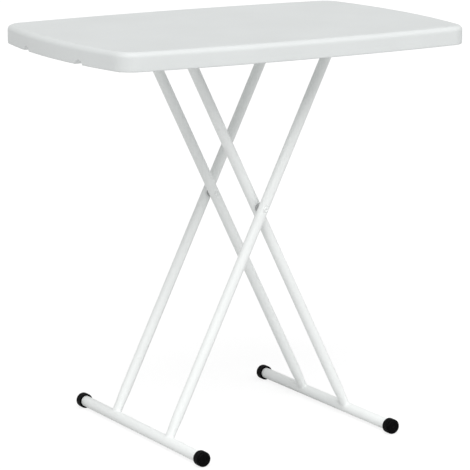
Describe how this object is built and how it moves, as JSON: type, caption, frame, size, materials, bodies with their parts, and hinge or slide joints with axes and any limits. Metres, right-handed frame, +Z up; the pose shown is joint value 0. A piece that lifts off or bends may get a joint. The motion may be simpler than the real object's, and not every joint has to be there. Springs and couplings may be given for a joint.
{
  "type": "folding table",
  "caption": "Folding table: a bowed, round-cornered moulded top on two crossed tubular leg frames with T feet, which scissor to change height and close.",
  "frame": {"origin": "on the floor under the middle of the top, which is the middle of the bounding box's base", "axes": "+X along the top's long side towards the fixed leg pivot, +Y to the back along the pivot bars, +Z up"},
  "size_m": [0.76, 0.5, 0.75],
  "materials": {
    "top_plastic": "satin",
    "frame_paint": "satin",
    "rivets": "satin",
    "black_caps": "satin",
    "nylon": "satin",
    "zinc_sheet": "satin",
    "screws": "satin"
  },
  "bodies": {
    "tabletop": {"tabletop": "top_plastic", "height_rack_back": "zinc_sheet", "height_rack_front": "zinc_sheet", "pivot_saddle_back": "zinc_sheet", "pivot_saddle_front": "zinc_sheet", "pivot_bush_back": "nylon", "pivot_bush_front": "nylon", "rack_screw_back_1": "screws", "rack_screw_back_2": "screws", "rack_screw_back_3": "screws", "rack_screw_front_1": "screws", "rack_screw_front_2": "screws", "rack_screw_front_3": "screws", "saddle_screw_back_1": "screws", "saddle_screw_back_2": "screws", "saddle_screw_front_1": "screws", "saddle_screw_front_2": "screws"},
    "outer_frame": {"outer_top_bar": "frame_paint", "outer_leg_back": "frame_paint", "outer_leg_front": "frame_paint", "outer_foot_tube": "frame_paint", "outer_foot_cap_back": "black_caps", "outer_foot_cap_front": "black_caps", "outer_bar_plug_back": "black_caps", "outer_bar_plug_front": "black_caps", "rivet_back": "rivets", "rivet_front": "rivets", "rivet_spacer_back": "nylon", "rivet_spacer_front": "nylon"},
    "inner_frame": {"inner_top_bar": "frame_paint", "inner_leg_back": "frame_paint", "inner_leg_front": "frame_paint", "inner_foot_tube": "frame_paint", "inner_foot_cap_back": "black_caps", "inner_foot_cap_front": "black_caps", "inner_bar_plug_back": "black_caps", "inner_bar_plug_front": "black_caps", "bar_glide_back": "nylon", "bar_glide_front": "nylon"}
  },
  "joints": [
    {"name": "frame_fold", "type": "hinge", "parent": "tabletop", "child": "outer_frame", "pos_m": [0.14466, 0, 0.716], "axis": [0, 1, 0], "range_deg": [-22.29, 16.63]},
    {"name": "leg_scissor", "type": "hinge", "parent": "outer_frame", "child": "inner_frame", "pos_m": [0, 0, 0.4233], "axis": [0, 1, 0], "range_deg": [-33.26, 44.58]}
  ],
  "couplings": [
    {"joint": "leg_scissor", "follows": "frame_fold", "ratio": -2}
  ]
}
